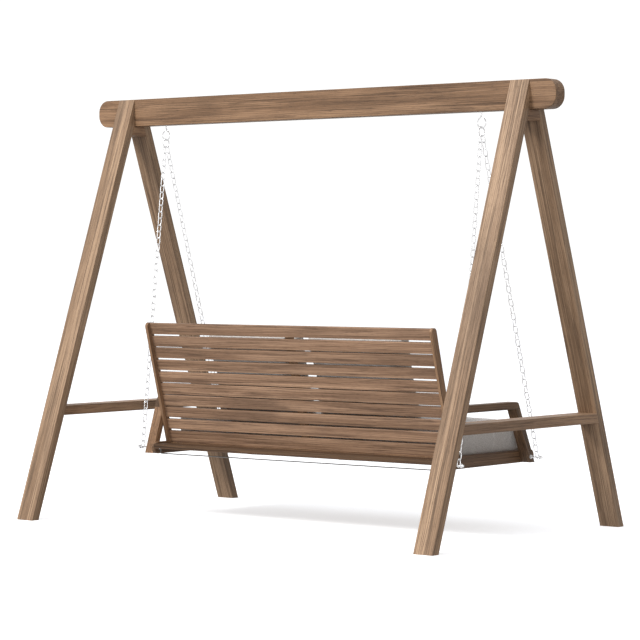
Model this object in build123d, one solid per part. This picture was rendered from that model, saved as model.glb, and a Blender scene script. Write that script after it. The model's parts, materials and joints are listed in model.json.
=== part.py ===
"""Free-standing porch swing: a timber A-frame stand with a chain-hung bench and loose cushions.

Millimetres, +Z up. The origin is on the floor under the middle of the beam. +X runs along the
beam, the bench faces -Y and its backrest is towards +Y.
"""
import os
from math import atan2, cos, degrees, hypot, radians, sin, sqrt

from build123d import *

os.makedirs("parts", exist_ok=True)

# ---------------------------------------------------------------- stand
STAND_HEIGHT = 2000.0
BEAM_LENGTH = 2675.0
BEAM_HEIGHT = 130.0
BEAM_THICKNESS = 71.0
BEAM_END_RADIUS = 57.0
BASE_DEPTH = 1498.0
LEG_WIDTH = 100.0
LEG_OUTER_X = 1202.0
LEG_HORIZONTAL_THICKNESS = 45.7
BLOCK_HEIGHT = 45.5
STRETCHER_BOTTOM = 484.0
STRETCHER_HEIGHT = 45.0
TIMBER_EASING = 2.0

# ---------------------------------------------------------------- hangers
HANG_X = 927.0
HOOK_WIRE = 6.0
HOOK_RADIUS = 22.5
HOOK_NECK_RADIUS = 26.0
HOOK_FREE_END_ANGLE = 62.0
HOOK_THREAD_RADIUS = 4.0
HOOK_THREAD_DEPTH = 70.0
HOOK_AXIS_Z = 1798.0
RING_WIRE = 6.0
RING_RADIUS = 21.0
RING_GAP = 0.35
CHAIN_WIRE = 4.0
LINK_INNER_LENGTH = 32.0
LINK_INNER_WIDTH = 16.5
LINK_GAP = 0.35
CHAIN_SPREAD_ANGLE = 20.0
LINKS_REAR = 46
LINKS_FRONT = 48

# ---------------------------------------------------------------- bench
LOOP_OUTER_X = 890.0
LOOP_WIDTH = 50.0
LOOP_THICKNESS = 33.0
LOOP_BOTTOM = 296.0
ARM_TOP = 577.0
ARM_CORNER_RADIUS = 24.0
ARM_REAR_OUTER_RADIUS = 48.0
ARM_REAR_INNER_RADIUS = 25.0
ARM_SPLIT_DROP = 42.0
REAR_FOOT_Y = 198.0
REAR_POST_LEAN = 18.3
FRONT_FOOT_Y = -484.0
FRONT_POST_LEAN = 25.4

SIDE_RAIL_THICKNESS = 20.0
SIDE_RAIL_BOTTOM = 294.5
SIDE_RAIL_HEIGHT = 56.0
SIDE_RAIL_REAR_Y = 206.0
SIDE_RAIL_FRONT_Y = -552.0
FRONT_RAIL_DEPTH = 45.0
DECK_THICKNESS = 22.0
DECK_TOP = 343.0
REAR_BOARD_EDGE_Y = 214.0
REAR_BOARD_WIDTH = 114.0
SEAT_SLAT_COUNT = 6
SEAT_SLAT_GAP = 10.0
BEARER_X = 270.0
BEARER_WIDTH = 40.0
BEARER_REAR_Y = 150.0
BEARER_TAPER_Y = -20.0
BEARER_BOTTOM = 298.5
BEARER_REAR_BOTTOM = 314.0

BACK_LEAN = 15.1
STILE_FOOT_REAR_Y = 103.0
STILE_FOOT_Z = 350.5
STILE_TOP = 922.0
STILE_THICKNESS = 16.0
STILE_DEPTH = 38.0
BACK_SLAT_GAPS = (9.5, 5.0, 10.0, 9.5, 5.0, 5.0, 9.5, 9.5, 9.5)
BACK_SLAT_PITCH = 59.1
BACK_SLAT_TOP_GAP_S = 523.6
BACK_SLAT_BOTTOM_S = -12.0
BACK_SLAT_THICKNESS = 14.0
BACK_SLAT_RECESS = 18.3
BACK_SLAT_TOP_S = 582.0
BATTEN_WIDTH = 40.0
BATTEN_THICKNESS = 20.0
BATTEN_END_GAP = 8.0

HANG_BOLT_RADIUS = 4.0
HANG_BOLT_Z = 322.0
HANG_BOLT_REAR_Y = 172.0
HANG_BOLT_FRONT_Y = -449.0
HANG_BOLT_END_X = 949.0
HANG_BOLT_HEAD_RADIUS = 7.0
HANG_BOLT_HEAD_DEPTH = 4.5
NUT_ACROSS_FLATS = 13.0
NUT_THICKNESS = 6.5
FLANGE_RADIUS = 9.0
FLANGE_THICKNESS = 1.6
CAP_START_X = 940.0
CAP_FLANGE_RADIUS = 9.5
CAP_RADIUS = 6.5
CAP_LENGTH = 13.0
TIE_ROD_RADIUS = 2.5
TIE_ROD_Y = 176.0
TIE_ROD_Z = 296.0
TIE_ROD_BEND = 8.0
TIE_ROD_INSET = 12.0
TIE_ROD_IN_BOARD = 12.0

# ---------------------------------------------------------------- cushions
SEAT_CUSHION_LENGTH = 1630.0
SEAT_CUSHION_REAR_Y = 40.0
SEAT_CUSHION_FRONT_Y = -502.0
SEAT_CUSHION_THICKNESS = 146.0
SEAT_CUSHION_EDGE = 38.0
BACK_CUSHION_WIDTH = 575.0
BACK_CUSHION_HEIGHT = 420.0
BACK_CUSHION_THICKNESS = 150.0
BACK_CUSHION_EDGE = 60.0
BACK_CUSHION_CENTRES = {"left": 269.0, "right": -332.0}
BACK_CUSHION_START_S = 112.0
CUSHION_CLEARANCE = 1.0

# ---------------------------------------------------------------- fixings
FRAME_DOWEL_RADIUS = 6.0
FRAME_DOWEL_LENGTH = 56.0
FRAME_DOWEL_SPREAD = 25.0
LEG_DOWEL_Z = 1893.0
BLOCK_SCREW_RADIUS = 3.0
BLOCK_SCREW_HEAD_RADIUS = 6.0
BLOCK_SCREW_LENGTH = 85.0
BLOCK_SCREW_Y = 16.0
SLAT_DOWEL_RADIUS = 3.0
SLAT_DOWEL_LENGTH = 40.0
SLAT_DOWEL_IN_SIDE = 7.0
SLAT_SCREW_RADIUS = 2.0
SLAT_SCREW_HEAD_RADIUS = 4.0
SLAT_SCREW_LENGTH = 30.0
JOINT_DOWEL_RADIUS = 4.0
JOINT_DOWEL_LENGTH = 40.0
JOINT_DOWEL_SPREAD = 12.0
JOINT_PIN_COVER = 8.0

# ---------------------------------------------------------------- derived
BEAM_BOTTOM = STAND_HEIGHT - BEAM_HEIGHT
LEG_MIDDLE_X = LEG_OUTER_X - LEG_WIDTH / 2
LEG_SLOPE = (BASE_DEPTH / 2 - BEAM_THICKNESS / 2) / STAND_HEIGHT
LOOP_INNER_X = LOOP_OUTER_X - LOOP_WIDTH
ARM_BOTTOM = ARM_TOP - LOOP_THICKNESS
DECK_END_X = LOOP_INNER_X - SIDE_RAIL_THICKNESS
DECK_BOTTOM = DECK_TOP - DECK_THICKNESS
SIDE_RAIL_TOP = SIDE_RAIL_BOTTOM + SIDE_RAIL_HEIGHT
SLAT_END_X = LOOP_INNER_X - STILE_THICKNESS
BACK_UP = Vector(0, sin(radians(BACK_LEAN)), cos(radians(BACK_LEAN)))
BACK_FRONT = Vector(0, -cos(radians(BACK_LEAN)), sin(radians(BACK_LEAN)))
STILE_FOOT = Vector(0, STILE_FOOT_REAR_Y, STILE_FOOT_Z)
RING_CENTRE_Z = HOOK_AXIS_Z + HOOK_WIRE / 2 + RING_GAP - (RING_RADIUS - RING_WIRE / 2)
BACK_SLAT_COUNT = len(BACK_SLAT_GAPS) + 1
SIDES = {"left": 1, "right": -1}

holes = {}


def node(name, *solids):
    """Write one named sub-part as its own STEP file."""
    shape = solids[0] if len(solids) == 1 else Compound(children=list(solids))
    shape.label = name
    export_step(shape, f"parts/{name}.step")


def drilled(name, solid):
    """Cut every hole that fixings need out of one timber."""
    for tool in holes.get(name, []):
        solid = solid - tool
    return solid


def drill(tool, *names):
    """Remember a fixing's hole for each timber that it passes through."""
    for name in names:
        holes.setdefault(name, []).append(tool)


def side_profile(points, x_low, x_high):
    """Extrude a closed outline given as (y, z) points from x_low to x_high."""
    outline = make_face(Polyline(*[(x_low, y, z) for y, z in points], close=True))
    return extrude(outline, amount=x_high - x_low, dir=(1, 0, 0))


def rod(start, end, radius):
    """Round bar between two points."""
    start = Vector(*start)
    end = Vector(*end)
    plane = Plane(origin=start, z_dir=end - start)
    return plane * extrude(Circle(radius), amount=(end - start).length)


def screw(head, point, radius, head_radius):
    """Countersunk screw from the middle of its head to its point."""
    head = Vector(*head)
    point = Vector(*point)
    length = (point - head).length
    plane = Plane(origin=head, z_dir=point - head)
    cone_depth = head_radius - radius
    outline = Polyline(
        (0, 0), (head_radius, 0), (radius, cone_depth), (radius, length - radius), (0, length),
        close=True,
    )
    turned = revolve(Plane.XZ * make_face(outline), Axis.Z)
    return plane * turned


def eased(edges):
    """Take the sharpness off a timber's edges."""
    return fillet(edges, TIMBER_EASING)


def outline_edges(solid, shortest=0.0):
    """The edges around both X faces of a timber, without the shortest ones at its joints."""
    along_x = solid.edges().filter_by(Axis.X)
    return [e for e in solid.edges() if e not in along_x and e.length > shortest]


def mirrored_range(low, high, side):
    """Put an X range on the left (+1) or right (-1) side, low value first."""
    return (low, high) if side > 0 else (-high, -low)


# ---------------------------------------------------------------- stand timbers
def leg_outer_y(z):
    return BASE_DEPTH / 2 - LEG_SLOPE * z


def leg_inner_y(z):
    return leg_outer_y(z) - LEG_HORIZONTAL_THICKNESS


def beam():
    half = BEAM_LENGTH / 2
    blank = Pos(0, 0, BEAM_BOTTOM + BEAM_HEIGHT / 2) * Box(BEAM_LENGTH, BEAM_THICKNESS, BEAM_HEIGHT)
    corners = [e for e in blank.edges().filter_by(Axis.Y) if abs(abs(e.center().X) - half) < 1]
    rounded = fillet(corners, BEAM_END_RADIUS)
    across = rounded.edges().filter_by(Axis.Y)
    return eased([e for e in rounded.edges() if e not in across])


def leg(side, end):
    """One leg: foot sawn level, head sawn upright against the beam's face."""
    meeting_z = (BASE_DEPTH / 2 - LEG_HORIZONTAL_THICKNESS - BEAM_THICKNESS / 2) / LEG_SLOPE
    outline = [
        (end * leg_outer_y(0), 0),
        (end * leg_inner_y(0), 0),
        (end * BEAM_THICKNESS / 2, meeting_z),
        (end * BEAM_THICKNESS / 2, STAND_HEIGHT),
    ]
    solid = side_profile(outline, *mirrored_range(LEG_OUTER_X - LEG_WIDTH, LEG_OUTER_X, side))
    return eased(outline_edges(solid, shortest=BEAM_HEIGHT))


def cross_piece(side, bottom, height):
    """Timber between a pair of legs, its ends cut to their slope."""
    top = bottom + height
    outline = [
        (-leg_inner_y(bottom), bottom),
        (leg_inner_y(bottom), bottom),
        (leg_inner_y(top), top),
        (-leg_inner_y(top), top),
    ]
    solid = side_profile(outline, *mirrored_range(LEG_OUTER_X - LEG_WIDTH, LEG_OUTER_X, side))
    return eased(solid.edges().filter_by(Axis.Y))


def stand_fixings():
    """Concealed dowels at every leg joint, and screws up through the head blocks."""
    dowels = []
    screws = []
    block_z = BEAM_BOTTOM - BLOCK_HEIGHT / 2
    stretcher_z = STRETCHER_BOTTOM + STRETCHER_HEIGHT / 2
    joints = [
        ("beam", LEG_DOWEL_Z, BEAM_THICKNESS / 2),
        ("head_block", block_z, leg_inner_y(block_z)),
        ("stretcher", stretcher_z, leg_inner_y(stretcher_z)),
    ]
    for side_name, side in SIDES.items():
        for end_name, end in (("rear", 1), ("front", -1)):
            for partner, z, face_y in joints:
                partner_name = partner if partner == "beam" else f"{partner}_{side_name}"
                for offset in (-FRAME_DOWEL_SPREAD, FRAME_DOWEL_SPREAD):
                    x = side * LEG_MIDDLE_X + offset
                    start = (x, end * (face_y - FRAME_DOWEL_LENGTH / 2), z)
                    stop = (x, end * (face_y + FRAME_DOWEL_LENGTH / 2), z)
                    dowel = rod(start, stop, FRAME_DOWEL_RADIUS)
                    drill(dowel, partner_name, f"leg_{side_name}_{end_name}")
                    dowels.append(dowel)
        for y in (-BLOCK_SCREW_Y, BLOCK_SCREW_Y):
            head = (side * LEG_MIDDLE_X, y, BEAM_BOTTOM - BLOCK_HEIGHT)
            point = (side * LEG_MIDDLE_X, y, BEAM_BOTTOM - BLOCK_HEIGHT + BLOCK_SCREW_LENGTH)
            fixing = screw(head, point, BLOCK_SCREW_RADIUS, BLOCK_SCREW_HEAD_RADIUS)
            drill(fixing, f"head_block_{side_name}", "beam")
            screws.append(fixing)
    return dowels, screws


# ---------------------------------------------------------------- hooks, rings and chains
def hook(side):
    """Screw hook that opens outwards, its loop in the XZ plane and its thread up in the beam."""
    centre = Vector(side * HANG_X, 0, HOOK_AXIS_Z + HOOK_RADIUS)
    plane = Plane(origin=centre, x_dir=(-side, 0, 0), z_dir=(0, side, 0))
    shank_top = BEAM_BOTTOM - centre.Z
    neck_height = sqrt(HOOK_RADIUS**2 + 2 * HOOK_RADIUS * HOOK_NECK_RADIUS)
    join_angle = degrees(atan2(neck_height, HOOK_NECK_RADIUS))
    shank = Line((0, shank_top), (0, neck_height))
    neck = JernArc((0, neck_height), (0, -1), HOOK_NECK_RADIUS, join_angle)
    loop = JernArc(neck @ 1, neck % 1, HOOK_RADIUS, -(join_angle + 180 + HOOK_FREE_END_ANGLE))
    start = Vector(side * HANG_X, 0, BEAM_BOTTOM)
    profile = Plane(origin=start, z_dir=(0, 0, -1)) * Circle(HOOK_WIRE / 2)
    wire = sweep(profile, path=plane * (shank + neck + loop))
    thread = rod(start, start + Vector(0, 0, HOOK_THREAD_DEPTH), HOOK_THREAD_RADIUS)
    drill(thread, "beam")
    return wire + thread


def ring(side):
    """Welded ring that hangs in the hook and carries both chains of one side."""
    return Pos(side * HANG_X, 0, RING_CENTRE_Z) * Rot(0, 90, 0) * Torus(RING_RADIUS, RING_WIRE / 2)


def chain_link():
    """One link, its length along Z and its width along X."""
    bend = LINK_INNER_WIDTH / 2 + CHAIN_WIRE / 2
    straight = LINK_INNER_LENGTH - LINK_INNER_WIDTH
    half_round = Torus(bend, CHAIN_WIRE / 2, major_angle=180, align=None)
    top = Pos(0, 0, straight / 2) * Rot(90, 0, 0) * half_round
    bottom = Rot(0, 180, 0) * top
    legs = [
        Pos(x, 0, 0) * Cylinder(CHAIN_WIRE / 2, straight)
        for x in (-bend, bend)
    ]
    return top + bottom + legs[0] + legs[1]


def chain(side, end):
    """Straight run of links from the ring down to the front or rear bolt."""
    angle = radians(CHAIN_SPREAD_ANGLE)
    count = LINKS_REAR if end > 0 else LINKS_FRONT
    bolt_y = HANG_BOLT_REAR_Y if end > 0 else HANG_BOLT_FRONT_Y
    top = Vector(
        side * HANG_X, end * RING_RADIUS * sin(angle), RING_CENTRE_Z - RING_RADIUS * cos(angle)
    )
    bottom = Vector(side * HANG_X, bolt_y, HANG_BOLT_Z)
    run = bottom - top
    along = run.normalized()
    across = Vector(0, along.Z, -along.Y)
    half_link = (LINK_INNER_LENGTH + CHAIN_WIRE) / 2
    first = half_link - (RING_WIRE + CHAIN_WIRE) / 2 - LINK_GAP
    last = run.length + HANG_BOLT_RADIUS + CHAIN_WIRE / 2 + LINK_GAP - half_link
    pitch = (last - first) / (count - 1)
    master = chain_link()
    links = []
    for index in range(count):
        width_along = Vector(1, 0, 0) if index % 2 == 0 else across
        place = Plane(origin=top + along * (first + index * pitch), x_dir=width_along, z_dir=along)
        links.append(place.location * master)
    return links


# ---------------------------------------------------------------- bench: arm loops
def rear_post_y(z, inner=False):
    y = REAR_FOOT_Y - tan_of(REAR_POST_LEAN) * (z - LOOP_BOTTOM)
    return y - LOOP_THICKNESS / cos(radians(REAR_POST_LEAN)) if inner else y


def front_post_y(z, inner=False):
    y = FRONT_FOOT_Y + tan_of(FRONT_POST_LEAN) * (z - LOOP_BOTTOM)
    return y + LOOP_THICKNESS / cos(radians(FRONT_POST_LEAN)) if inner else y


def tan_of(angle):
    return sin(radians(angle)) / cos(radians(angle))


def arm_split():
    """The joint line between an armrest's turned-down tail and its rear post, inner end first."""
    z = ARM_BOTTOM - ARM_SPLIT_DROP
    inner = (rear_post_y(z, inner=True), z)
    lean = radians(REAR_POST_LEAN)
    outer = (inner[0] + LOOP_THICKNESS * cos(lean), inner[1] + LOOP_THICKNESS * sin(lean))
    return inner, outer


def edge_at(solid, y, z):
    """The edge parallel to X whose middle is nearest to (y, z)."""
    edges = solid.edges().filter_by(Axis.X)
    return min(edges, key=lambda e: hypot(e.center().Y - y, e.center().Z - z))


def armrest(side):
    """Flat arm that turns down at the back to meet the rear post."""
    inner, outer = arm_split()
    front_top = (front_post_y(ARM_TOP), ARM_TOP)
    rear_top = (rear_post_y(ARM_TOP), ARM_TOP)
    rear_inside = (rear_post_y(ARM_BOTTOM, inner=True), ARM_BOTTOM)
    outline = [(front_post_y(ARM_BOTTOM), ARM_BOTTOM), front_top, rear_top, outer, inner, rear_inside]
    solid = side_profile(outline, *mirrored_range(LOOP_INNER_X, LOOP_OUTER_X, side))
    solid = fillet(edge_at(solid, *front_top), ARM_CORNER_RADIUS)
    solid = fillet(edge_at(solid, *rear_top), ARM_REAR_OUTER_RADIUS)
    solid = fillet(edge_at(solid, *rear_inside), ARM_REAR_INNER_RADIUS)
    return eased(outline_edges(solid))


def rear_post(side):
    inner, outer = arm_split()
    foot = [(rear_post_y(LOOP_BOTTOM), LOOP_BOTTOM), (rear_post_y(LOOP_BOTTOM, True), LOOP_BOTTOM)]
    outline = foot + [inner, outer]
    solid = side_profile(outline, *mirrored_range(LOOP_INNER_X, LOOP_OUTER_X, side))
    return eased(outline_edges(solid, shortest=LOOP_WIDTH))


def front_post(side):
    outline = [
        (front_post_y(LOOP_BOTTOM), LOOP_BOTTOM),
        (front_post_y(LOOP_BOTTOM, inner=True), LOOP_BOTTOM),
        (front_post_y(ARM_BOTTOM, inner=True), ARM_BOTTOM),
        (front_post_y(ARM_BOTTOM), ARM_BOTTOM),
    ]
    solid = side_profile(outline, *mirrored_range(LOOP_INNER_X, LOOP_OUTER_X, side))
    return eased(outline_edges(solid, shortest=LOOP_WIDTH))


# ---------------------------------------------------------------- bench: seat
def side_rail(side):
    """Upright board with half-round ends, inside the arm loop."""
    length = SIDE_RAIL_REAR_Y - SIDE_RAIL_FRONT_Y
    middle = (SIDE_RAIL_REAR_Y + SIDE_RAIL_FRONT_Y) / 2
    low, high = mirrored_range(DECK_END_X, LOOP_INNER_X, side)
    plane = Plane(
        origin=(low, middle, SIDE_RAIL_BOTTOM + SIDE_RAIL_HEIGHT / 2), x_dir=(0, 1, 0), z_dir=(1, 0, 0)
    )
    board = plane * extrude(SlotOverall(length, SIDE_RAIL_HEIGHT), amount=high - low)
    return eased(outline_edges(board))


def front_rail():
    """Cross rail with a half-round nose."""
    radius = SIDE_RAIL_HEIGHT / 2
    nose_y = SIDE_RAIL_FRONT_Y + radius
    rear_y = SIDE_RAIL_FRONT_Y + FRONT_RAIL_DEPTH
    x = -DECK_END_X
    outline = [
        Line((x, nose_y, SIDE_RAIL_BOTTOM), (x, rear_y, SIDE_RAIL_BOTTOM)),
        Line((x, rear_y, SIDE_RAIL_BOTTOM), (x, rear_y, SIDE_RAIL_TOP)),
        Line((x, rear_y, SIDE_RAIL_TOP), (x, nose_y, SIDE_RAIL_TOP)),
        ThreePointArc(
            (x, nose_y, SIDE_RAIL_TOP),
            (x, SIDE_RAIL_FRONT_Y, SIDE_RAIL_BOTTOM + radius),
            (x, nose_y, SIDE_RAIL_BOTTOM),
        ),
    ]
    solid = extrude(make_face(outline), amount=2 * DECK_END_X, dir=(1, 0, 0))
    return eased([e for e in solid.edges().filter_by(Axis.X) if abs(e.center().Y - rear_y) < 1])


def deck_board(low_y, high_y):
    board = Pos(0, (low_y + high_y) / 2, DECK_TOP - DECK_THICKNESS / 2) * Box(
        2 * DECK_END_X, high_y - low_y, DECK_THICKNESS
    )
    return eased(board.edges().filter_by(Axis.X))


def seat_slat_range(index):
    """Front and rear edges of a seat slat, counted from the front."""
    front = SIDE_RAIL_FRONT_Y + FRONT_RAIL_DEPTH
    rear = REAR_BOARD_EDGE_Y - REAR_BOARD_WIDTH
    width = (rear - front - SEAT_SLAT_GAP * (SEAT_SLAT_COUNT + 1)) / SEAT_SLAT_COUNT
    low = front + SEAT_SLAT_GAP + index * (width + SEAT_SLAT_GAP)
    return low, low + width


def bearer(side):
    """Bar under the deck, tapered at the back so that it stays out of sight."""
    outline = [
        (SIDE_RAIL_FRONT_Y + FRONT_RAIL_DEPTH, DECK_BOTTOM),
        (SIDE_RAIL_FRONT_Y + FRONT_RAIL_DEPTH, BEARER_BOTTOM),
        (BEARER_TAPER_Y, BEARER_BOTTOM),
        (BEARER_REAR_Y, BEARER_REAR_BOTTOM),
        (BEARER_REAR_Y, DECK_BOTTOM),
    ]
    low, high = mirrored_range(BEARER_X - BEARER_WIDTH / 2, BEARER_X + BEARER_WIDTH / 2, side)
    return side_profile(outline, low, high)


# ---------------------------------------------------------------- bench: back
def back_point(x, up, depth):
    """A point on the leaning back: up its slope, and forward from the stiles' rear edge."""
    return Vector(x, 0, 0) + STILE_FOOT + BACK_UP * up + BACK_FRONT * depth


def back_block(x, up, depth, width, height, thickness):
    """Box lying in the leaning back, given by its middle and its size."""
    plane = Plane(origin=back_point(x, up, depth), x_dir=(1, 0, 0), z_dir=BACK_UP)
    return plane.location * Box(width, thickness, height)


def back_stile(side):
    """Leaning side board with a half-round top, its foot sawn level on the side rail."""
    radius = STILE_DEPTH / 2
    lift = (STILE_TOP - radius - STILE_FOOT_Z - radius * BACK_FRONT.Z) / BACK_UP.Z
    low, high = mirrored_range(SLAT_END_X, LOOP_INNER_X, side)
    foot_rear = back_point(low, 0, 0)
    foot_front = foot_rear - Vector(0, STILE_DEPTH / cos(radians(BACK_LEAN)), 0)
    rear_top = back_point(low, lift, 0)
    crown = back_point(low, lift + radius, radius)
    front_top = back_point(low, lift, STILE_DEPTH)
    outline = [
        Line(foot_front, foot_rear),
        Line(foot_rear, rear_top),
        ThreePointArc(rear_top, crown, front_top),
        Line(front_top, foot_front),
    ]
    solid = extrude(make_face(outline), amount=high - low, dir=(1, 0, 0))
    return eased(outline_edges(solid, shortest=STILE_DEPTH * 1.2))


def back_slat_range(index):
    """Lower and upper edges of a back slat up the slope, counted from the top."""
    gap_above = BACK_SLAT_TOP_GAP_S - (index - 1) * BACK_SLAT_PITCH
    gap_below = gap_above - BACK_SLAT_PITCH
    top = BACK_SLAT_TOP_S if index == 0 else gap_above - BACK_SLAT_GAPS[index - 1] / 2
    last = index == len(BACK_SLAT_GAPS)
    bottom = BACK_SLAT_BOTTOM_S if last else gap_below + BACK_SLAT_GAPS[index] / 2
    return bottom, top


def back_slat_up(index):
    """Height of a back slat's middle up the slope."""
    return sum(back_slat_range(index)) / 2


def back_slat(index):
    """Back slat between the stiles; the lowest one is notched over the side rails."""
    bottom, top = back_slat_range(index)
    depth = BACK_SLAT_RECESS + BACK_SLAT_THICKNESS / 2
    slat = back_block(
        0, (bottom + top) / 2, depth, 2 * SLAT_END_X, top - bottom, BACK_SLAT_THICKNESS
    )
    slat = eased(slat.edges().filter_by(Axis.X))
    if index == BACK_SLAT_COUNT - 1:
        for side in SIDES.values():
            slat = slat - Pos(side * SLAT_END_X, 0, SIDE_RAIL_TOP - SIDE_RAIL_HEIGHT / 2) * Box(
                2 * (SLAT_END_X - DECK_END_X), 2 * STILE_TOP, SIDE_RAIL_HEIGHT
            )
    return slat


def back_batten():
    front_of_slats = BACK_SLAT_RECESS + BACK_SLAT_THICKNESS
    height = BACK_SLAT_TOP_S - 2 * BATTEN_END_GAP
    solid = back_block(
        0, BACK_SLAT_TOP_S / 2, front_of_slats + BATTEN_THICKNESS / 2,
        BATTEN_WIDTH, height, BATTEN_THICKNESS,
    )
    return eased([e for e in solid.edges() if e.length > BATTEN_WIDTH + 1])


# ---------------------------------------------------------------- bench: cushions
def soft_block(block, edge):
    return fillet(block.edges(), edge)


def seat_cushion():
    """Thick seat cushion that lies on the deck between the side rails and the front rail."""
    depth = SEAT_CUSHION_REAR_Y - SEAT_CUSHION_FRONT_Y
    centre = (
        0,
        (SEAT_CUSHION_REAR_Y + SEAT_CUSHION_FRONT_Y) / 2,
        DECK_TOP + CUSHION_CLEARANCE / 2 + SEAT_CUSHION_THICKNESS / 2,
    )
    block = Pos(*centre) * Box(SEAT_CUSHION_LENGTH, depth, SEAT_CUSHION_THICKNESS)
    return soft_block(block, SEAT_CUSHION_EDGE)


def back_cushion(side_name):
    front_of_batten = BACK_SLAT_RECESS + BACK_SLAT_THICKNESS + BATTEN_THICKNESS
    block = back_block(
        BACK_CUSHION_CENTRES[side_name],
        BACK_CUSHION_START_S + BACK_CUSHION_HEIGHT / 2,
        front_of_batten + CUSHION_CLEARANCE + BACK_CUSHION_THICKNESS / 2,
        BACK_CUSHION_WIDTH,
        BACK_CUSHION_HEIGHT,
        BACK_CUSHION_THICKNESS,
    )
    return soft_block(block, BACK_CUSHION_EDGE)


# ---------------------------------------------------------------- bench: metal
def bolt_places():
    """Name parts and Y of the four hanging bolts."""
    for side_name, side in SIDES.items():
        yield side_name, side, "rear", HANG_BOLT_REAR_Y
        yield side_name, side, "front", HANG_BOLT_FRONT_Y


def hanger_metal():
    """Countersunk bolts through side rail and post, their flange nuts and their end caps."""
    bolts = []
    nuts = []
    caps = []
    for side_name, side, end_name, y in bolt_places():
        def at(x, side=side, y=y):
            return Vector(side * x, y, HANG_BOLT_Z)

        out = Vector(side, 0, 0)
        shank = rod(at(DECK_END_X), at(HANG_BOLT_END_X), HANG_BOLT_RADIUS)
        head_plane = Plane(origin=at(DECK_END_X), z_dir=out)
        head = head_plane * loft(
            [
                Circle(HANG_BOLT_HEAD_RADIUS),
                Pos(0, 0, HANG_BOLT_HEAD_DEPTH) * Circle(HANG_BOLT_RADIUS),
            ]
        )
        bolt = shank + head
        drill(bolt, f"side_rail_{side_name}", f"{end_name}_post_{side_name}")
        bolts.append(bolt)

        nut_plane = Plane(origin=at(LOOP_OUTER_X), z_dir=out)
        flange = extrude(Circle(FLANGE_RADIUS), amount=FLANGE_THICKNESS)
        hexagon = extrude(
            RegularPolygon(NUT_ACROSS_FLATS / 2, 6, major_radius=False), amount=NUT_THICKNESS
        )
        bore = extrude(Circle(HANG_BOLT_RADIUS), amount=NUT_THICKNESS)
        nuts.append(nut_plane * (flange + hexagon - bore))

        cap_plane = Plane(origin=at(CAP_START_X), z_dir=out)
        cap_flange = extrude(Circle(CAP_FLANGE_RADIUS), amount=FLANGE_THICKNESS)
        barrel = extrude(Circle(CAP_RADIUS), amount=CAP_LENGTH)
        barrel = fillet(barrel.edges().sort_by(Axis.Z)[-1], 3.0)
        cap_bore = extrude(Circle(HANG_BOLT_RADIUS), amount=HANG_BOLT_END_X - CAP_START_X)
        caps.append(cap_plane * (cap_flange + barrel - cap_bore))
    return bolts, nuts, caps


def tie_rod():
    """Thin steel rod under the rear board, both ends turned up into the board."""
    end_x = DECK_END_X - TIE_ROD_INSET
    top = DECK_BOTTOM + TIE_ROD_IN_BOARD
    points = [
        (-end_x, TIE_ROD_Y, top),
        (-end_x, TIE_ROD_Y, TIE_ROD_Z),
        (end_x, TIE_ROD_Y, TIE_ROD_Z),
        (end_x, TIE_ROD_Y, top),
    ]
    path = FilletPolyline(*points, radius=TIE_ROD_BEND)
    profile = Plane(origin=points[0], z_dir=(0, 0, -1)) * Circle(TIE_ROD_RADIUS)
    bar = sweep(profile, path=path)
    drill(bar, "rear_board")
    return bar


# ---------------------------------------------------------------- bench: fixings
def slat_dowels():
    """Dowels from every slat, board and front rail end into the stile or side rail beside it."""
    dowels = []

    def pair(name, side_part, face_x, y, z):
        for side_name, side in SIDES.items():
            start = (side * (face_x + SLAT_DOWEL_IN_SIDE), y, z)
            stop = (side * (face_x + SLAT_DOWEL_IN_SIDE - SLAT_DOWEL_LENGTH), y, z)
            dowel = rod(start, stop, SLAT_DOWEL_RADIUS)
            drill(dowel, name, f"{side_part}_{side_name}")
            dowels.append(dowel)

    for index in range(BACK_SLAT_COUNT):
        place = back_point(0, back_slat_up(index), BACK_SLAT_RECESS + BACK_SLAT_THICKNESS / 2)
        pair(f"back_slat_{index + 1}", "back_stile", SLAT_END_X, place.Y, place.Z)
    deck_z = DECK_TOP - DECK_THICKNESS / 2
    for index in range(SEAT_SLAT_COUNT):
        low, high = seat_slat_range(index)
        for share in (0.22, 0.78):
            y = low + share * (high - low)
            pair(f"seat_slat_{index + 1}", "side_rail", DECK_END_X, y, deck_z)
    for y in (REAR_BOARD_EDGE_Y - REAR_BOARD_WIDTH + 24, REAR_BOARD_EDGE_Y - 18):
        pair("rear_board", "side_rail", DECK_END_X, y, deck_z)
    for offset in (-11, 11):
        z = SIDE_RAIL_BOTTOM + SIDE_RAIL_HEIGHT / 2 + offset
        pair("front_rail", "side_rail", DECK_END_X, SIDE_RAIL_FRONT_Y + SIDE_RAIL_HEIGHT / 2, z)
    return dowels


def slat_screws():
    """Screws that hold the back slats to their batten and the deck to its bearers."""
    screws = []

    def add(head, point, *names):
        fixing = screw(head, point, SLAT_SCREW_RADIUS, SLAT_SCREW_HEAD_RADIUS)
        drill(fixing, *names)
        screws.append(fixing)

    head_depth = BACK_SLAT_RECESS + BACK_SLAT_THICKNESS + BATTEN_THICKNESS
    for index in range(BACK_SLAT_COUNT):
        up = back_slat_up(index)
        head = back_point(0, up, head_depth)
        point = back_point(0, up, head_depth - SLAT_SCREW_LENGTH)
        add(head, point, "back_batten", f"back_slat_{index + 1}")
    boards = {}
    for index in range(SEAT_SLAT_COUNT):
        low, high = seat_slat_range(index)
        boards[f"seat_slat_{index + 1}"] = (low + high) / 2
    boards["rear_board"] = REAR_BOARD_EDGE_Y - REAR_BOARD_WIDTH + 12
    for name, y in boards.items():
        for side_name, side in SIDES.items():
            head = (side * BEARER_X, y, DECK_TOP)
            point = (side * BEARER_X, y, DECK_TOP - SLAT_SCREW_LENGTH)
            add(head, point, name, f"bearer_{side_name}")
    return screws


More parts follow.
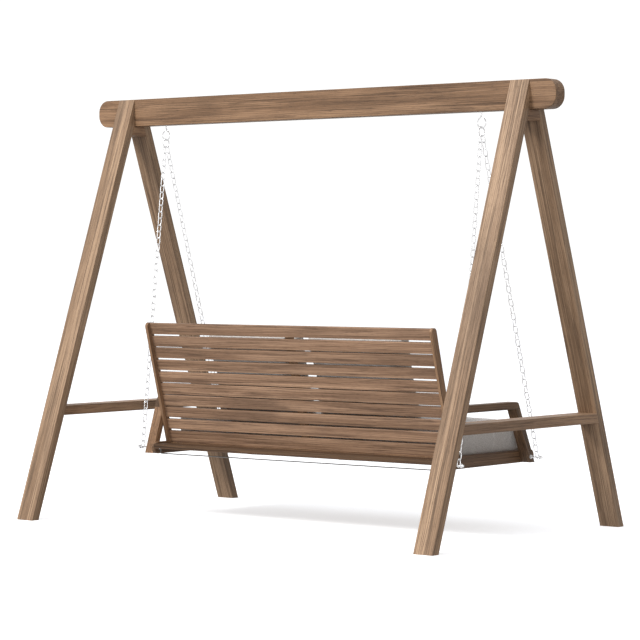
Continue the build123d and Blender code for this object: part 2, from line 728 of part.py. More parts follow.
def joint_dowels():
    """Dowels in the arm joints, under the stiles, and where each stile crosses its rear post."""
    dowels = []

    def add(start, stop, *names):
        dowel = rod(start, stop, JOINT_DOWEL_RADIUS)
        drill(dowel, *names)
        dowels.append(dowel)

    half = JOINT_DOWEL_LENGTH / 2
    inner, outer = arm_split()
    split_y = (inner[0] + outer[0]) / 2
    split_z = (inner[1] + outer[1]) / 2
    post_up = Vector(0, -sin(radians(REAR_POST_LEAN)), cos(radians(REAR_POST_LEAN)))
    front_y = (front_post_y(ARM_BOTTOM) + front_post_y(ARM_BOTTOM, inner=True)) / 2
    loop_x = (LOOP_INNER_X + LOOP_OUTER_X) / 2
    lean = tan_of(BACK_LEAN)
    stile_y = STILE_FOOT_REAR_Y - STILE_DEPTH / cos(radians(BACK_LEAN)) / 2
    post_y = (rear_post_y(STILE_FOOT_Z) + rear_post_y(STILE_FOOT_Z, inner=True)) / 2
    rise = (post_y - stile_y) / (lean + tan_of(REAR_POST_LEAN))
    for side_name, side in SIDES.items():
        for offset in (-JOINT_DOWEL_SPREAD, JOINT_DOWEL_SPREAD):
            x = side * loop_x + offset
            arm = f"armrest_{side_name}"
            front = Vector(x, front_y, ARM_BOTTOM)
            add(front - Vector(0, 0, half), front + Vector(0, 0, half), arm, f"front_post_{side_name}")
            rear = Vector(x, split_y, split_z)
            add(rear - post_up * half, rear + post_up * half, arm, f"rear_post_{side_name}")
        x = side * (LOOP_INNER_X - STILE_THICKNESS / 2)
        for y in (STILE_FOOT_REAR_Y - 28, STILE_FOOT_REAR_Y - 8):
            foot = Vector(x, y, STILE_FOOT_Z)
            add(
                foot - Vector(0, 0, half), foot + Vector(0, 0, half),
                f"back_stile_{side_name}", f"side_rail_{side_name}",
            )
        cross = Vector(0, stile_y + lean * rise, STILE_FOOT_Z + rise)
        start_x = SLAT_END_X + JOINT_PIN_COVER
        add(
            cross + Vector(side * start_x, 0, 0),
            cross + Vector(side * (start_x + JOINT_DOWEL_LENGTH), 0, 0),
            f"back_stile_{side_name}", f"rear_post_{side_name}",
        )
    return dowels


# ---------------------------------------------------------------- assembly
def main():
    timbers = {"beam": beam(), "front_rail": front_rail(), "back_batten": back_batten()}
    for side_name, side in SIDES.items():
        for end_name, end in (("rear", 1), ("front", -1)):
            timbers[f"leg_{side_name}_{end_name}"] = leg(side, end)
        timbers[f"head_block_{side_name}"] = cross_piece(
            side, BEAM_BOTTOM - BLOCK_HEIGHT, BLOCK_HEIGHT
        )
        timbers[f"stretcher_{side_name}"] = cross_piece(side, STRETCHER_BOTTOM, STRETCHER_HEIGHT)
        timbers[f"armrest_{side_name}"] = armrest(side)
        timbers[f"rear_post_{side_name}"] = rear_post(side)
        timbers[f"front_post_{side_name}"] = front_post(side)
        timbers[f"side_rail_{side_name}"] = side_rail(side)
        timbers[f"bearer_{side_name}"] = bearer(side)
        timbers[f"back_stile_{side_name}"] = back_stile(side)
    timbers["rear_board"] = deck_board(REAR_BOARD_EDGE_Y - REAR_BOARD_WIDTH, REAR_BOARD_EDGE_Y)
    for index in range(SEAT_SLAT_COUNT):
        timbers[f"seat_slat_{index + 1}"] = deck_board(*seat_slat_range(index))
    for index in range(BACK_SLAT_COUNT):
        timbers[f"back_slat_{index + 1}"] = back_slat(index)

    dowels, block_screws = stand_fixings()
    node("frame_dowels", *dowels)
    node("block_screws", *block_screws)
    for side_name, side in SIDES.items():
        node(f"hook_{side_name}", hook(side))
        node(f"ring_{side_name}", ring(side))
        node(f"chain_{side_name}_rear", *chain(side, 1))
        node(f"chain_{side_name}_front", *chain(side, -1))
    bolts, nuts, caps = hanger_metal()
    node("hanger_bolts", *bolts)
    node("hanger_nuts", *nuts)
    node("hanger_caps", *caps)
    node("tie_rod", tie_rod())
    node("slat_dowels", *slat_dowels())
    node("slat_screws", *slat_screws())
    node("joint_dowels", *joint_dowels())
    for name, solid in timbers.items():
        node(name, drilled(name, solid))
    node("seat_cushion", seat_cushion())
    for side_name in SIDES:
        node(f"back_cushion_{side_name}", back_cushion(side_name))


main()
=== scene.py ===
"""Looks for the porch swing: timber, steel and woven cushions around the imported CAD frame. Metres, +Z up."""
import json
import math

import bmesh
import bpy
import numpy as np
from mathutils import Matrix, Vector


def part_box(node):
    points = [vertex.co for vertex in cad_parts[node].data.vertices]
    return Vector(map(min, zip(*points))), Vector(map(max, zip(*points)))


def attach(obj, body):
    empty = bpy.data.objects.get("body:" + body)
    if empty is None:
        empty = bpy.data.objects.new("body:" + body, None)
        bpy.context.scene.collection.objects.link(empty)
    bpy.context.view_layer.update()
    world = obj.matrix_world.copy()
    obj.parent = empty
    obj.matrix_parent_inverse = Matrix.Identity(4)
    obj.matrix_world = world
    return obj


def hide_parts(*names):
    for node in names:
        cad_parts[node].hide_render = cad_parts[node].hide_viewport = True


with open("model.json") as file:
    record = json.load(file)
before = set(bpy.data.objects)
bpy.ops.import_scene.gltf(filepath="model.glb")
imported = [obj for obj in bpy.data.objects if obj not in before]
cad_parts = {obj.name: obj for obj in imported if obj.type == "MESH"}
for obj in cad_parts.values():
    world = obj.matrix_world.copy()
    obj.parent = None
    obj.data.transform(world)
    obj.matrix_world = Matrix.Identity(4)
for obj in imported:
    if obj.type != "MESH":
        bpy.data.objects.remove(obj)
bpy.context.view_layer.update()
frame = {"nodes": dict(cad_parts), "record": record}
nodes = frame["nodes"]


# ---------------------------------------------------------------- shader helpers
class Shader:
    """A new material and short ways to add and join its nodes."""

    def __init__(self, name):
        self.material = bpy.data.materials.new(name)
        self.material.use_nodes = True
        self.tree = self.material.node_tree
        self.tree.nodes.clear()
        self.output = self.tree.nodes.new("ShaderNodeOutputMaterial")
        self.bsdf = self.tree.nodes.new("ShaderNodeBsdfPrincipled")
        self.join(self.bsdf.outputs[0], self.output.inputs["Surface"])

    def join(self, source, target):
        self.tree.links.new(source, target)

    def put(self, socket, value):
        if isinstance(value, bpy.types.NodeSocket):
            self.join(value, socket)
        else:
            socket.default_value = value

    def object_point(self):
        return self.tree.nodes.new("ShaderNodeTexCoord").outputs["Object"]

    def uv(self):
        return self.tree.nodes.new("ShaderNodeTexCoord").outputs["UV"]

    def mapped(self, vector, scale=(1, 1, 1), rotation=(0, 0, 0), location=(0, 0, 0)):
        node = self.tree.nodes.new("ShaderNodeMapping")
        self.put(node.inputs["Vector"], vector)
        node.inputs["Scale"].default_value = scale
        node.inputs["Rotation"].default_value = rotation
        node.inputs["Location"].default_value = location
        return node.outputs["Vector"]

    def noise(self, vector, scale, detail=2.0, roughness=0.5, distortion=0.0):
        node = self.tree.nodes.new("ShaderNodeTexNoise")
        self.put(node.inputs["Vector"], vector)
        node.inputs["Scale"].default_value = scale
        node.inputs["Detail"].default_value = detail
        node.inputs["Roughness"].default_value = roughness
        node.inputs["Distortion"].default_value = distortion
        return node.outputs["Fac"]

    def rings(self, vector, scale, distortion, detail):
        node = self.tree.nodes.new("ShaderNodeTexWave")
        node.wave_type = "RINGS"
        node.rings_direction = "X"
        node.wave_profile = "SAW"
        self.put(node.inputs["Vector"], vector)
        node.inputs["Scale"].default_value = scale
        node.inputs["Distortion"].default_value = distortion
        node.inputs["Detail"].default_value = detail
        node.inputs["Detail Scale"].default_value = 0.35
        return node.outputs["Fac"]

    def checker(self, vector, scale):
        node = self.tree.nodes.new("ShaderNodeTexChecker")
        self.put(node.inputs["Vector"], vector)
        node.inputs["Scale"].default_value = scale
        return node.outputs["Fac"]

    def math(self, operation, a, b=0.0, c=0.0):
        node = self.tree.nodes.new("ShaderNodeMath")
        node.operation = operation
        for socket, value in zip(node.inputs, (a, b, c)):
            self.put(socket, value)
        return node.outputs[0]

    def span(self, value, low, high, to_low=0.0, to_high=1.0):
        """A value's range low to high, spread over to_low to to_high and held there."""
        node = self.tree.nodes.new("ShaderNodeMapRange")
        node.interpolation_type = "SMOOTHSTEP"
        for socket, item in zip(node.inputs, (value, low, high, to_low, to_high)):
            self.put(socket, item)
        return node.outputs[0]

    def mix(self, share, a, b, blend="MIX"):
        node = self.tree.nodes.new("ShaderNodeMix")
        node.data_type = "RGBA"
        node.blend_type = blend
        self.put(node.inputs[0], share)
        self.put(node.inputs[6], a if isinstance(a, bpy.types.NodeSocket) else (*a, 1))
        self.put(node.inputs[7], b if isinstance(b, bpy.types.NodeSocket) else (*b, 1))
        return node.outputs[2]

    def split(self, vector):
        node = self.tree.nodes.new("ShaderNodeSeparateXYZ")
        self.put(node.inputs[0], vector)
        return node.outputs

    def bump(self, height, distance, strength=1.0):
        node = self.tree.nodes.new("ShaderNodeBump")
        self.put(node.inputs["Height"], height)
        node.inputs["Distance"].default_value = distance
        node.inputs["Strength"].default_value = strength
        self.join(node.outputs[0], self.bsdf.inputs["Normal"])


# ---------------------------------------------------------------- materials
WOOD_LIGHT = (0.420, 0.246, 0.136)
WOOD_MIDDLE = (0.245, 0.134, 0.069)
WOOD_DARK = (0.070, 0.036, 0.019)

# How fine each part of the grain is, per metre: along the board, then across it both ways.
FIGURE_FINENESS = (0.07, 1, 1)
BAND_FINENESS = (0.8, 26, 26)
STREAK_FINENESS = (2.2, 125, 125)
FIBRE_FINENESS = (12, 560, 560)
PORE_FINENESS = (30, 900, 900)
CLOUD_FINENESS = (1.6, 7.0, 7.0)
RINGS_PER_METRE = 38.0
WOOD_RELIEF = 0.00035


def wood(name, along, seed, tone=1.0, tint=(1, 1, 1)):
    """Oiled hardwood as a solid texture, with its grain along one direction of the frame."""
    shader = Shader(name)
    random = np.random.default_rng(seed)
    along = Vector(along).normalized()
    side = along.cross(Vector((0, 0, 1)))
    if side.length < 0.5:
        side = along.cross(Vector((0, 1, 0)))
    side.normalize()
    turn = Matrix((along, side, along.cross(side))).to_euler()
    pith = random.uniform(0.10, 0.28) * random.choice((-1, 1))
    place = (random.uniform(-9, 9), pith, random.uniform(0.05, 0.25) * random.choice((-1, 1)))
    board = shader.mapped(shader.object_point(), rotation=turn, location=place)

    figure = shader.rings(shader.mapped(board, scale=FIGURE_FINENESS), RINGS_PER_METRE, 9.0, 3.0)
    bands = shader.noise(shader.mapped(board, scale=BAND_FINENESS), 1.0, 3.0, 0.62, 0.8)
    streaks = shader.noise(shader.mapped(board, scale=STREAK_FINENESS), 1.0, 5.0, 0.68, 0.7)
    fibres = shader.noise(shader.mapped(board, scale=FIBRE_FINENESS), 1.0, 3.0, 0.65)
    pores = shader.noise(shader.mapped(board, scale=PORE_FINENESS), 1.0, 1.0, 0.5)
    clouds = shader.noise(shader.mapped(board, scale=CLOUD_FINENESS), 1.0, 2.0, 0.5)

    # tone and tint carry the painted light and shade of each kind of piece.
    light, middle, dark = (
        [tone * t * c for t, c in zip(tint, shade)] for shade in (WOOD_LIGHT, WOOD_MIDDLE, WOOD_DARK)
    )
    colour = shader.mix(shader.span(bands, 0.38, 0.60), light, middle)
    lines = shader.math("MULTIPLY", shader.span(figure, 0.40, 1.0), 0.45)
    colour = shader.mix(lines, colour, dark)
    colour = shader.mix(shader.span(streaks, 0.47, 0.64, 0.0, 0.85), colour, dark)
    colour = shader.mix(shader.span(clouds, 0.50, 0.68, 0.0, 0.45), colour, dark)
    colour = shader.mix(shader.span(fibres, 0.35, 0.70, 0.0, 0.30), colour, light)
    pits = shader.span(pores, 0.60, 0.72)
    colour = shader.mix(shader.math("MULTIPLY", pits, 0.55), colour, [0.5 * c for c in dark])
    shader.put(shader.bsdf.inputs["Base Color"], colour)
    shader.put(shader.bsdf.inputs["Roughness"], shader.span(streaks, 0.3, 0.75, 0.46, 0.62))
    shader.bsdf.inputs["Specular IOR Level"].default_value = 0.25
    relief = shader.math("MULTIPLY_ADD", pits, -0.8, fibres)
    relief = shader.math("MULTIPLY_ADD", figure, 0.35, relief)
    shader.bump(relief, WOOD_RELIEF, 0.55)
    return shader.material


POLISHED_TINT = (0.80, 0.80, 0.81)
DRAWN_TINT = (0.20, 0.19, 0.18)


def steel(name, tint, roughness):
    """Steel with fine handling marks."""
    shader = Shader(name)
    point = shader.object_point()
    smears = shader.noise(point, 55.0, 3.0, 0.6)
    scratches = shader.noise(shader.mapped(point, scale=(1, 1, 0.12)), 2600.0, 2.0, 0.6)
    colour = shader.mix(shader.span(smears, 0.35, 0.7), tint, [0.82 * c for c in tint])
    shader.put(shader.bsdf.inputs["Base Color"], colour)
    shader.bsdf.inputs["Metallic"].default_value = 1.0
    wear = shader.math("ADD", shader.math("MULTIPLY", smears, 0.16), roughness)
    shader.put(shader.bsdf.inputs["Roughness"], wear)
    shader.bump(scratches, 0.00002, 0.4)
    return shader.material


YARN = 0.0021
COVER_LIGHT = (0.88, 0.84, 0.80)
COVER_DARK = (0.62, 0.58, 0.545)
WEAVE_RELIEF = 0.0007


def linen(name, light, dark):
    """Plain-woven outdoor cloth: two yarn directions passing over and under each other."""
    shader = Shader(name)
    uv = shader.uv()
    u, v, _ = shader.split(shader.mapped(uv, scale=(1 / YARN, 1 / YARN, 1)))
    across = shader.math("ABSOLUTE", shader.math("SINE", shader.math("MULTIPLY", u, math.pi)))
    down = shader.math("ABSOLUTE", shader.math("SINE", shader.math("MULTIPLY", v, math.pi)))
    over = shader.checker(uv, 1 / YARN)
    height = shader.math(
        "ADD",
        shader.math("MULTIPLY", across, over),
        shader.math("MULTIPLY", down, shader.math("SUBTRACT", 1.0, over)),
    )
    slub_u = shader.noise(shader.mapped(uv, scale=(70, 460, 1)), 1.0, 3.0, 0.65)
    slub_v = shader.noise(shader.mapped(uv, scale=(460, 70, 1)), 1.0, 3.0, 0.65)
    slub = shader.math("MULTIPLY", shader.math("ADD", slub_u, slub_v), 0.5)
    fleck = shader.noise(uv, 260.0, 3.0, 0.7)
    wear = shader.noise(shader.object_point(), 5.0, 3.0, 0.5)
    colour = shader.mix(shader.span(slub, 0.40, 0.62), dark, light)
    colour = shader.mix(shader.span(fleck, 0.46, 0.66, 0.0, 0.62), colour, [0.50 * c for c in dark])
    # Painted shade: the hollows between the yarns are darkened toward half the dark yarn colour.
    shade = shader.span(height, 0.05, 0.8, 0.35, 0.0)
    colour = shader.mix(shade, colour, [0.5 * c for c in dark])
    colour = shader.mix(shader.span(wear, 0.4, 0.75, 0.0, 0.12), colour, dark)
    shader.put(shader.bsdf.inputs["Base Color"], colour)
    shader.bsdf.inputs["Roughness"].default_value = 0.92
    shader.bsdf.inputs["Specular IOR Level"].default_value = 0.2
    shader.bsdf.inputs["Sheen Weight"].default_value = 0.25
    shader.bsdf.inputs["Sheen Roughness"].default_value = 0.5
    relief = shader.math("MULTIPLY_ADD", slub, 0.8, height)
    shader.bump(relief, WEAVE_RELIEF, 0.7)
    return shader.material


def give(node_name, material):
    """Put one material on a CAD node."""
    mesh = nodes[node_name].data
    mesh.materials.clear()
    mesh.materials.append(material)


def middle_of(node_name):
    low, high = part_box(node_name)
    return (low + high) / 2


back_up = (middle_of("back_slat_1") - middle_of("back_slat_10")).normalized()
back_front = Vector((0, -back_up.z, back_up.y))


def post_direction(node_name, lean_sign):
    """Direction up a leaning post, from its box: lean_sign is +1 if its head is towards +Y."""
    low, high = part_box(node_name)
    return Vector((0, lean_sign * (high.y - low.y), high.z - low.z)).normalized()


GRAIN_ALONG = {
    "beam": (1, 0, 0),
    "front_rail": (1, 0, 0),
    "rear_board": (1, 0, 0),
    "seat_slat": (1, 0, 0),
    "back_slat": (1, 0, 0),
    "slat_dowels": (1, 0, 0),
    "joint_dowels": (0, 0, 1),
    "frame_dowels": (0, 1, 0),
    "head_block": (0, 1, 0),
    "stretcher": (0, 1, 0),
    "armrest": (0, 1, 0),
    "side_rail": (0, 1, 0),
    "bearer": (0, 1, 0),
    "back_stile": tuple(back_up),
    "back_batten": tuple(back_up),
}


def grain_of(node_name):
    if node_name.startswith("leg") or node_name.startswith(("front_post", "rear_post")):
        rear = "rear" in node_name
        return post_direction(node_name, -1 if rear else 1)
    return GRAIN_ALONG[next(k for k in GRAIN_ALONG if node_name.startswith(k))]


# Brightness and colour of each kind of piece against the plain wood, as painted light and shade: pieces that
# sit in shade (rear board, armrest, front post) are painted darker, the lit legs and back slats lighter, and
# the tints stand in for the light and sheen on them; the first key that fits counts.
PAINTED_LIGHT_AND_SHADE_TONE = {
    "leg_right_rear": 1.18, "leg_left_rear": 1.15, "leg": 0.95, "beam": 0.74, "back_slat": 1.12,
    "armrest": 0.46, "rear_board": 0.31, "front_post": 0.42, "side_rail": 0.62,
}
PAINTED_LIGHT_TINT = {
    "leg": (0.94, 1.05, 1.17),
    "back_slat": (0.96, 1.0, 1.12),
    "stretcher": (0.97, 1.02, 1.08),
    "rear_board": (1.06, 0.98, 0.88),
}
TONE_SPREAD = 0.07


def tone_with_painted_light(node_name):
    """How light a board is: painted light and shade for each kind of piece, and a small random difference from
    piece to piece.
    """
    kind = next((k for k in PAINTED_LIGHT_AND_SHADE_TONE if node_name.startswith(k)), None)
    return PAINTED_LIGHT_AND_SHADE_TONE.get(kind, 1.0) * float(tones.uniform(1 - TONE_SPREAD, 1 + TONE_SPREAD))


def painted_light_tint_of(node_name):
    """A slight colour shift, painted to stand in for the light on the kinds of piece that have one."""
    return PAINTED_LIGHT_TINT.get(next((k for k in PAINTED_LIGHT_TINT if node_name.startswith(k)), None), (1, 1, 1))


tones = np.random.default_rng(11)
slot_of = {row["node"]: row["material_slot"] for row in frame["record"]["subparts"]}
polished = steel("polished_steel", POLISHED_TINT, 0.14)
drawn = steel("drawn_steel", DRAWN_TINT, 0.42)
for seed, node_name in enumerate(sorted(n for n, s in slot_of.items() if s == "wood")):
    grain = grain_of(node_name)
    # Each wood gets the painted light and shade of its kind of piece, and its random tone.
    give(node_name, wood(f"wood_{node_name}", grain, 100 + seed, tone_with_painted_light(node_name), painted_light_tint_of(node_name)))
for node_name in sorted(n for n, s in slot_of.items() if s == "steel"):
    give(node_name, drawn if node_name == "tie_rod" else polished)


# ---------------------------------------------------------------- cushions
CLOTH_FRAMES = 20
CLOTH_PRESSURE = 4.0
CLOTH_CAP = 0.024


def new_object(name, mesh):
    thing = bpy.data.objects.new(name, mesh)
    bpy.context.scene.collection.objects.link(thing)
    return thing


def vertices_of(mesh):
    points = np.empty(len(mesh.vertices) * 3)
    mesh.vertices.foreach_get("co", points)
    return points.reshape(-1, 3)


def set_vertices(mesh, points):
    mesh.vertices.foreach_set("co", np.ascontiguousarray(points, dtype=np.float64).ravel())
    mesh.update()


def grid_pillow(name, shape, count_u, count_v):
    """Closed mesh from shape(u, v, face): two sheets over u, v in -1 to 1 that meet at their rim."""
    mesh = bmesh.new()
    us = np.linspace(-1, 1, count_u)
    vs = np.linspace(-1, 1, count_v)
    sheets = []
    for face in (1, -1):
        rows = []
        for i, u in enumerate(us):
            row = []
            for j, v in enumerate(vs):
                rim = i in (0, count_u - 1) or j in (0, count_v - 1)
                if face < 0 and rim:
                    row.append(sheets[0][i][j])
                else:
                    row.append(mesh.verts.new(shape(u, v, face)))
            rows.append(row)
        sheets.append(rows)
    for face, rows in zip((1, -1), sheets):
        for i in range(count_u - 1):
            for j in range(count_v - 1):
                corners = [rows[i][j], rows[i + 1][j], rows[i + 1][j + 1], rows[i][j + 1]]
                mesh.faces.new(corners if face > 0 else corners[::-1])
    data = bpy.data.meshes.new(name)
    mesh.to_mesh(data)
    mesh.free()
    return new_object(name, data)


def apply_all(thing):
    """Bake an object's modifiers into its own mesh."""
    graph = bpy.context.evaluated_depsgraph_get()
    graph.update()
    baked = bpy.data.meshes.new_from_object(thing.evaluated_get(graph))
    thing.modifiers.clear()
    thing.data = baked


def remesh(thing, voxel):
    modifier = thing.modifiers.new("remesh", "REMESH")
    modifier.mode = "VOXEL"
    modifier.voxel_size = voxel
    apply_all(thing)


def inflate(thing, shrink, pinned):
    """Blow a cushion up with Cloth, its seam held by the weights of pinned, and cap how far it moves."""
    start = vertices_of(thing.data)
    group = thing.vertex_groups.new(name="seam")
    weights = pinned(start)
    for index in np.nonzero(weights > 0.01)[0]:
        group.add([int(index)], float(weights[index]), "REPLACE")
    cloth = thing.modifiers.new("cloth", "CLOTH")
    settings = cloth.settings
    settings.use_pressure = True
    settings.uniform_pressure_force = CLOTH_PRESSURE
    settings.effector_weights.gravity = 0
    settings.shrink_min = shrink
    settings.tension_stiffness = 12
    settings.compression_stiffness = 12
    settings.shear_stiffness = 5
    settings.bending_stiffness = 0.35
    settings.quality = 4
    settings.vertex_group_mass = "seam"
    cloth.collision_settings.use_collision = False
    cloth.point_cache.frame_start = 1
    cloth.point_cache.frame_end = CLOTH_FRAMES
    for step in range(1, CLOTH_FRAMES + 1):
        bpy.context.scene.frame_set(step)
    apply_all(thing)
    moved = vertices_of(thing.data)
    shift = moved - start
    length = np.linalg.norm(shift, axis=1, keepdims=True)
    held = CLOTH_CAP * np.tanh(length / CLOTH_CAP)
    set_vertices(thing.data, start + shift * held / np.maximum(length, 1e-9))
    bpy.context.scene.frame_set(1)
    thing.vertex_groups.clear()


def subdivide_once(thing):
    modifier = thing.modifiers.new("smooth", "SUBSURF")
    modifier.levels = 1
    modifier.render_levels = 1
    apply_all(thing)


def press_seam(thing, distance_to_seam, depth, width):
    """Pull the skin in along a sewn seam, along its own normals."""
    points = vertices_of(thing.data)
    normals = np.empty(len(points) * 3)
    thing.data.vertices.foreach_get("normal", normals)
    pull = depth * np.exp(-(distance_to_seam(points) / width) ** 2)
    set_vertices(thing.data, points - normals.reshape(-1, 3) * pull[:, None])


def weave_map(thing):
    """Lay the weave over each face from the side that it faces."""
    mesh = thing.data
    layer = mesh.uv_layers.new(name="weave")
    points = vertices_of(mesh)
    loops = np.empty(len(mesh.loops), dtype=np.int64)
    mesh.loops.foreach_get("vertex_index", loops)
    normals = np.empty(len(mesh.polygons) * 3)
    mesh.polygons.foreach_get("normal", normals)
    totals = np.empty(len(mesh.polygons), dtype=np.int64)
    mesh.polygons.foreach_get("loop_total", totals)
    facing = np.repeat(np.abs(normals.reshape(-1, 3)).argmax(axis=1), totals)
    axes = np.array([(1, 2), (0, 2), (0, 1)])[facing]
    at = points[loops]
    rows = np.arange(len(loops))
    uv = np.stack([at[rows, axes[:, 0]], at[rows, axes[:, 1]]], axis=1)
    layer.data.foreach_set("uv", uv.ravel())


def finish_cushion(thing, material, replaced):
    for polygon in thing.data.polygons:
        polygon.use_smooth = True
    thing.data.materials.clear()
    thing.data.materials.append(material)
    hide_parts(replaced)
    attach(thing, "bench")


def place_mesh(thing, matrix):
    thing.data.transform(matrix)
    thing.data.update()


SEAT_GRID = (121, 61)
SEAT_VOXEL = 0.0075
SEAT_START_INSET = 0.004
SEAT_WAIST = 0.004
SEAT_CROWN = 0.016
SEAT_TOP_SHARE = 0.80
SEAT_SHRINK = -0.02
SEAT_SEAM_HOLD = 0.012
SEAT_SEAM_DEPTH = 0.0025
SEAT_SEAM_WIDTH = 0.005
SEAT_END_BULGE = 0.003
SEAT_FRONT_BULGE = 0.002
SEAT_REAR_BULGE = 0.004


def seat_cushion():
    """Boxed seat cushion: crowned top, flat base, upright sides between two sewn seams."""
    low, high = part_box("seat_cushion")
    half = (high - low) / 2
    centre = (low + high) / 2
    a = half.x - SEAT_START_INSET
    b = half.y - SEAT_START_INSET
    c = half.z - SEAT_CROWN / 2 - 0.003

    def skin(u, v, face):
        reach = max(abs(u), abs(v))
        if reach <= SEAT_TOP_SHARE:
            x, y, z = a * u / SEAT_TOP_SHARE, b * v / SEAT_TOP_SHARE, c
        else:
            x, y = a * u / reach, b * v / reach
            z = c * (1 - (reach - SEAT_TOP_SHARE) / (1 - SEAT_TOP_SHARE))
        along_x = 1 - (x / a) ** 2
        along_y = 1 - (y / b) ** 2
        x *= 1 - SEAT_WAIST / a * along_y
        y *= 1 - SEAT_WAIST / b * along_x
        if face > 0:
            z += SEAT_CROWN * (1 - (x / a) ** 4) * (1 - (y / b) ** 4) * (z / c) ** 2
        return Vector((x, y, z * face)) + centre - Vector((0, 0, SEAT_CROWN / 2))

    thing = grid_pillow("seat_cushion_cover", skin, *SEAT_GRID)
    remesh(thing, SEAT_VOXEL)
    smooth = thing.modifiers.new("smooth", "SMOOTH")
    smooth.factor = 0.5
    smooth.iterations = 6
    apply_all(thing)
    top_seam = centre.z + c - SEAT_CROWN / 2
    base_seam = centre.z - c - SEAT_CROWN / 2

    def from_edges(points):
        """Distance to the nearer of the two seams, around the top and around the base."""
        x = np.abs(points[:, 0] - centre.x)
        y = np.abs(points[:, 1] - centre.y)
        out = np.maximum(x - a, y - b)
        drop = np.minimum(np.abs(points[:, 2] - top_seam), np.abs(points[:, 2] - base_seam))
        return np.hypot(out, drop)

    inflate(thing, SEAT_SHRINK, lambda p: 0.9 * np.exp(-(from_edges(p) / SEAT_SEAM_HOLD) ** 2))
    points = vertices_of(thing.data)
    points[:, 2] = np.maximum(points[:, 2], low.z)
    points[:, 0] = np.clip(points[:, 0], low.x - SEAT_END_BULGE, high.x + SEAT_END_BULGE)
    points[:, 1] = np.clip(points[:, 1], low.y - SEAT_FRONT_BULGE, high.y + SEAT_REAR_BULGE)
    set_vertices(thing.data, points)
    subdivide_once(thing)
    press_seam(thing, from_edges, SEAT_SEAM_DEPTH, SEAT_SEAM_WIDTH)
    points = vertices_of(thing.data)
    points[:, 2] = np.maximum(points[:, 2], low.z - 0.0002)
    set_vertices(thing.data, points)
    weave_map(thing)
    finish_cushion(thing, cover, "seat_cushion")
    return thing


PILLOW_SIZE = (0.575, 0.420, 0.150)
PILLOW_GRID = (91, 67)
PILLOW_VOXEL = 0.005
PILLOW_EDGE_INSET = 0.004
PILLOW_INSET = 0.012
PILLOW_PULL = 0.055
PILLOW_TOP_SHARE = 0.35
PILLOW_SHRINK = -0.035
PILLOW_SEAM_HOLD = 0.010
PILLOW_SEAM_DEPTH = 0.0015
PILLOW_SEAM_WIDTH = 0.004

# The rear face is drawn this much fuller, then pressed flat where the slats and their batten stop it.
PILLOW_PRESS = 0.034
SLAT_REACH = 0.0185
BATTEN_SIDE = 0.028
BATTEN_FADE = 0.035


def back_cushion(node_name):
    """Scatter cushion with one seam round its rim, its back pressed flat against the back slats."""
    a = PILLOW_SIZE[0] / 2 - PILLOW_EDGE_INSET
    b = PILLOW_SIZE[1] / 2 - PILLOW_EDGE_INSET
    c = PILLOW_SIZE[2] / 2 - PILLOW_INSET

    def skin(u, v, face):
        x = a * u * (1 - PILLOW_PULL * (1 - v * v) * abs(u))
        y = b * v * (1 - PILLOW_PULL * PILLOW_TOP_SHARE * (1 - u * u) * abs(v))
        full = ((1 - abs(u) ** 2.6) * (1 - abs(v) ** 2.6)) ** (0.55 if face > 0 else 0.38)
        return Vector((x, y, face * (c if face > 0 else c + PILLOW_PRESS) * full))

    thing = grid_pillow(f"{node_name}_cover", skin, *PILLOW_GRID)
    remesh(thing, PILLOW_VOXEL)

    def from_rim(points):
        """Distance to the seam around the rim."""
        u = points[:, 0] / a
        v = points[:, 1] / b
        rim_x = a * (1 - PILLOW_PULL * (1 - np.clip(v, -1, 1) ** 2))
        rim_y = b * (1 - PILLOW_PULL * PILLOW_TOP_SHARE * (1 - np.clip(u, -1, 1) ** 2))
        inside = np.minimum(rim_x - np.abs(points[:, 0]), rim_y - np.abs(points[:, 1]))
        return np.hypot(np.maximum(inside, 0), points[:, 2])

    inflate(thing, PILLOW_SHRINK, lambda p: 0.85 * np.exp(-(from_rim(p) / PILLOW_SEAM_HOLD) ** 2))
    subdivide_once(thing)
    press_seam(thing, from_rim, PILLOW_SEAM_DEPTH, PILLOW_SEAM_WIDTH)
    centre = middle_of(node_name)
    points = vertices_of(thing.data)
    from_batten = np.clip((np.abs(points[:, 0] + centre.x) - BATTEN_SIDE) / BATTEN_FADE, 0, 1)
    rear = PILLOW_SIZE[2] / 2 + SLAT_REACH * from_batten
    points[:, 2] = np.maximum(points[:, 2], -rear)
    set_vertices(thing.data, points)
    weave_map(thing)
    turn = Matrix((Vector((1, 0, 0)), back_up, back_front)).transposed().to_4x4()
    place_mesh(thing, Matrix.Translation(centre) @ turn)
    finish_cushion(thing, cover, node_name)
    return thing


cover = linen("woven_cover", COVER_LIGHT, COVER_DARK)
seat_cushion()
back_cushion("back_cushion_left")
back_cushion("back_cushion_right")


# ---------------------------------------------------------------- floor, light and camera
def plain(name, colour, roughness):
    shader = Shader(name)
    shader.bsdf.inputs["Base Color"].default_value = (*colour, 1)
    shader.bsdf.inputs["Roughness"].default_value = roughness
    shader.bsdf.inputs["Specular IOR Level"].default_value = 0.1
    return shader.material


FLOOR_REACH = 60.0
FLOOR_DROP = 0.0005
FLOOR_GLOW = 0.55
floor_mesh = bpy.data.meshes.new("floor")
floor_mesh.from_pydata(
    [(-FLOOR_REACH, -FLOOR_REACH, 0), (FLOOR_REACH, -FLOOR_REACH, 0),
     (FLOOR_REACH, FLOOR_REACH, 0), (-FLOOR_REACH, FLOOR_REACH, 0)],
    [], [(0, 1, 2, 3)],
)
floor = new_object("floor", floor_mesh)
floor.location.z = -FLOOR_DROP
pale = plain("pale_floor", (0.80, 0.80, 0.81), 0.9)
pale_bsdf = pale.node_tree.nodes["Principled BSDF"]
pale_bsdf.inputs["Emission Color"].default_value = (0.99, 0.995, 1, 1)
pale_bsdf.inputs["Emission Strength"].default_value = FLOOR_GLOW
floor_mesh.materials.append(pale)
floor.visible_diffuse = False
floor.visible_glossy = False

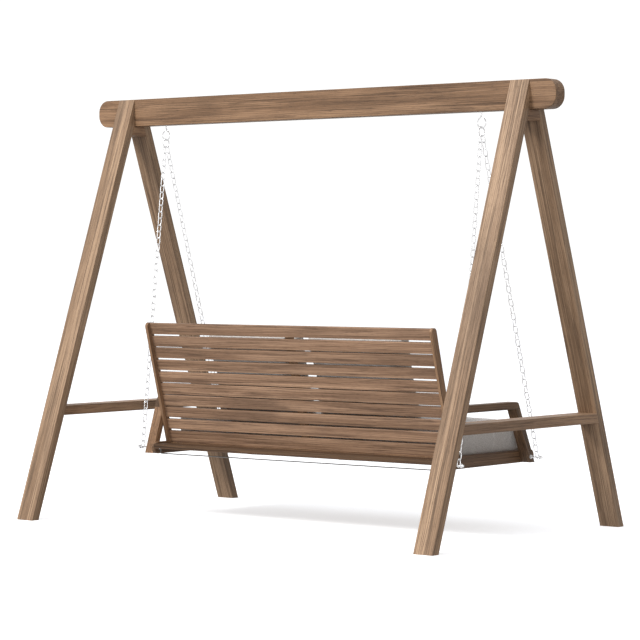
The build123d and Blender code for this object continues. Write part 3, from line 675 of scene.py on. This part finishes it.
BACKDROP_RADIUS = 45.0
BACKDROP_GLOW = 1.05
backdrop_mesh = bpy.data.meshes.new("backdrop")
dome = bmesh.new()
bmesh.ops.create_uvsphere(dome, u_segments=48, v_segments=24, radius=BACKDROP_RADIUS)
dome.to_mesh(backdrop_mesh)
dome.free()
backdrop = new_object("backdrop", backdrop_mesh)
glow = Shader("white_backdrop")
glow.bsdf.inputs["Base Color"].default_value = (0, 0, 0, 1)
glow.bsdf.inputs["Emission Color"].default_value = (1, 1, 1, 1)
glow.bsdf.inputs["Emission Strength"].default_value = BACKDROP_GLOW
backdrop_mesh.materials.append(glow.material)
backdrop.visible_diffuse = False
backdrop.visible_shadow = False


def area_light(name, place, target, size, power, colour=(1, 1, 1)):
    data = bpy.data.lights.new(name, "AREA")
    data.shape = "DISK"
    data.size = size
    data.energy = power
    data.color = colour
    lamp = bpy.data.objects.new(name, data)
    bpy.context.scene.collection.objects.link(lamp)
    lamp.location = place
    lamp.rotation_mode = "QUATERNION"
    lamp.rotation_quaternion = (Vector(target) - Vector(place)).to_track_quat("-Z", "Y")


# Two soft lamps: name, place, what it points at, diameter in metres, watts and colour.
area_light("key", (3.2, 6.4, 7.6), (0, 0, 0.8), 2.8, 700, (1.0, 0.985, 0.96))
area_light("side", (-7.5, 6.0, 2.6), (0, 0, 0.9), 4.0, 180)

# The surroundings are brighter towards one side and above, so upright faces differ in shade.
BRIGHT_SIDE = (0.40, 0.50, 0.62)
DIM_SURROUND = (0.27, 0.265, 0.26, 1)
BRIGHT_SURROUND = (0.90, 0.92, 0.96, 1)

world = bpy.data.worlds.new("studio")
bpy.context.scene.world = world
world.use_nodes = True
tree = world.node_tree
background = tree.nodes["Background"]
direction = tree.nodes.new("ShaderNodeTexCoord").outputs["Generated"]
rise = tree.nodes.new("ShaderNodeMapRange")
rise.interpolation_type = "SMOOTHSTEP"
rise.inputs["From Min"].default_value = -0.35
rise.inputs["From Max"].default_value = 0.75
facing = tree.nodes.new("ShaderNodeVectorMath")
facing.operation = "DOT_PRODUCT"
facing.inputs[1].default_value = BRIGHT_SIDE
tree.links.new(direction, facing.inputs[0])
tree.links.new(facing.outputs["Value"], rise.inputs["Value"])
sky = tree.nodes.new("ShaderNodeMix")
sky.data_type = "RGBA"
sky.inputs[6].default_value = DIM_SURROUND
sky.inputs[7].default_value = BRIGHT_SURROUND
tree.links.new(rise.outputs[0], sky.inputs[0])
tree.links.new(sky.outputs[2], background.inputs["Color"])
bpy.context.scene.view_settings.view_transform = "Standard"

CAMERA_PLACE = (-7.3525, 9.2954, 1.2162)
CAMERA_TURN = math.radians(38.26)
CAMERA_PITCH = math.radians(-1.331)
CAMERA_LENS = 144.06
camera_data = bpy.data.cameras.new("camera")
camera_data.sensor_width = 36
camera_data.lens = CAMERA_LENS
camera_data.clip_end = 200
camera = bpy.data.objects.new("camera", camera_data)
bpy.context.scene.collection.objects.link(camera)
camera.location = CAMERA_PLACE
looking = Vector((
    math.sin(CAMERA_TURN) * math.cos(CAMERA_PITCH),
    -math.cos(CAMERA_TURN) * math.cos(CAMERA_PITCH),
    math.sin(CAMERA_PITCH),
))
camera.rotation_mode = "QUATERNION"
camera.rotation_quaternion = looking.to_track_quat("-Z", "Y")
bpy.context.scene.camera = camera
